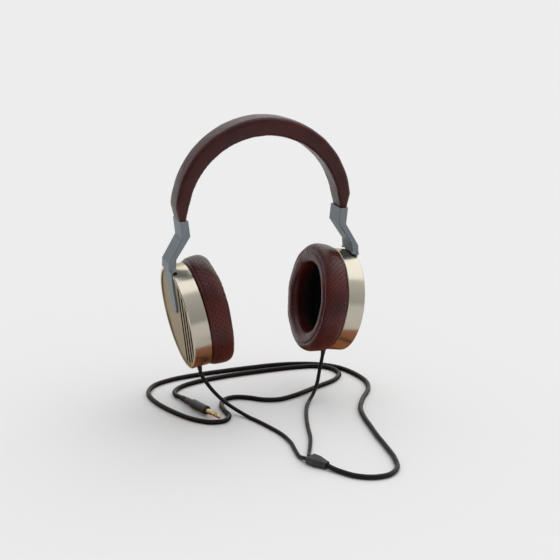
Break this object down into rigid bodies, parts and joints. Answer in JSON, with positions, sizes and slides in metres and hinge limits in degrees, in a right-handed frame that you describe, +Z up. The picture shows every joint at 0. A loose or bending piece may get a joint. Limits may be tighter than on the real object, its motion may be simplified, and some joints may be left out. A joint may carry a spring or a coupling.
{
  "type": "over ear headphones",
  "caption": "Over ear headphones: leather covered arched headband, S-bent metal yokes, round slotted metal cups with soft leather pads, and a Y cord ending in a slim gold plug.",
  "frame": {"origin": "underside of the headband's crown, where the headband rests on a head or a hook", "axes": "+X towards the right hand cup in the front view, +Y towards the back, +Z up out of the headband"},
  "size_m": [0.1946, 0.2546, 0.2479],
  "materials": {
    "band_leather": "smooth grained, satin",
    "spring_steel": "satin",
    "foam": "matt open cell foam",
    "guide_plastic": "matt",
    "slider_steel": "brushed along its length",
    "yoke_metal": "satin blue grey",
    "screw_steel": "satin",
    "pin_steel": "ground",
    "pivot_plastic": "matt",
    "cup_metal": "anodised pale nickel gold, brushed and polished",
    "plate_metal": "anodised pale nickel gold, brushed",
    "mesh_fabric": "fine black weave",
    "baffle_plastic": "matt",
    "basket_plastic": "matt",
    "magnet_steel": "plated",
    "coil_copper": "enamelled wire",
    "diaphragm_film": "thin clear film",
    "cover_fabric": "black weave on a perforated disc",
    "pad_leather": "perforated on its side wall, smooth in front",
    "relief_rubber": "matt",
    "cord_jacket": "satin",
    "splitter_rubber": "matt",
    "barrel_plastic": "satin",
    "contact_gold": "gold plated",
    "insulator": "matt"
  },
  "bodies": {
    "headband": {"headband_cover": "band_leather", "headband_spring": "spring_steel", "headband_foam": "foam", "right_slider_guide": "guide_plastic", "left_slider_guide": "guide_plastic", "right_detent_spring": "spring_steel", "left_detent_spring": "spring_steel", "right_lead": "cord_jacket", "left_lead": "cord_jacket", "y_splitter": "splitter_rubber", "main_cable": "cord_jacket", "plug_boot": "relief_rubber", "plug_barrel": "barrel_plastic", "plug_sleeve": "contact_gold", "plug_ring": "contact_gold", "plug_tip": "contact_gold", "plug_insulators": "insulator"},
    "right_yoke_arm": {"right_slider": "slider_steel", "right_yoke": "yoke_metal", "right_yoke_screws": "screw_steel", "right_swivel_pin": "pin_steel"},
    "right_pivot": {"right_pivot_block": "pivot_plastic"},
    "right_cup": {"right_tilt_pin": "pin_steel", "right_cup_band": "cup_metal", "right_slotted_plate": "plate_metal", "right_pivot_cradle": "plate_metal", "right_dust_mesh": "mesh_fabric", "right_baffle": "baffle_plastic", "right_baffle_screws": "screw_steel", "right_driver_basket": "basket_plastic", "right_magnet": "magnet_steel", "right_pole_plate": "magnet_steel", "right_voice_coil": "coil_copper", "right_diaphragm": "diaphragm_film", "right_driver_cover": "cover_fabric", "right_pad_ring": "baffle_plastic", "right_ear_pad": "pad_leather", "right_strain_relief": "relief_rubber"},
    "left_yoke_arm": {"left_slider": "slider_steel", "left_yoke": "yoke_metal", "left_yoke_screws": "screw_steel", "left_swivel_pin": "pin_steel"},
    "left_pivot": {"left_pivot_block": "pivot_plastic"},
    "left_cup": {"left_tilt_pin": "pin_steel", "left_cup_band": "cup_metal", "left_slotted_plate": "plate_metal", "left_pivot_cradle": "plate_metal", "left_dust_mesh": "mesh_fabric", "left_baffle": "baffle_plastic", "left_baffle_screws": "screw_steel", "left_driver_basket": "basket_plastic", "left_magnet": "magnet_steel", "left_pole_plate": "magnet_steel", "left_voice_coil": "coil_copper", "left_diaphragm": "diaphragm_film", "left_driver_cover": "cover_fabric", "left_pad_ring": "baffle_plastic", "left_ear_pad": "pad_leather", "left_strain_relief": "relief_rubber"}
  },
  "joints": [
    {"name": "right_slide", "type": "slide", "parent": "headband", "child": "right_yoke_arm", "axis": [0.0698, 0, -0.9976], "range_m": [0, 0.02], "deforming": ["right_lead"]},
    {"name": "right_swivel", "type": "hinge", "parent": "right_yoke_arm", "child": "right_pivot", "pos_m": [0.07378, 0, -0.13523], "axis": [0.1668, 0, 0.986], "range_deg": [-4, 4], "deforming": ["right_lead"]},
    {"name": "right_tilt", "type": "hinge", "parent": "right_pivot", "child": "right_cup", "pos_m": [0.07053, 0, -0.13468], "axis": [0, -1, 0], "range_deg": [-3, 8], "deforming": ["right_lead"]},
    {"name": "left_slide", "type": "slide", "parent": "headband", "child": "left_yoke_arm", "axis": [-0.0698, 0, -0.9976], "range_m": [0, 0.02], "deforming": ["left_lead"]},
    {"name": "left_swivel", "type": "hinge", "parent": "left_yoke_arm", "child": "left_pivot", "pos_m": [-0.07378, 0, -0.13523], "axis": [-0.1668, 0, 0.986], "range_deg": [-4, 4], "deforming": ["left_lead"]},
    {"name": "left_tilt", "type": "hinge", "parent": "left_pivot", "child": "left_cup", "pos_m": [-0.07053, 0, -0.13468], "axis": [0, 1, 0], "range_deg": [-3, 8], "deforming": ["left_lead"]}
  ]
}
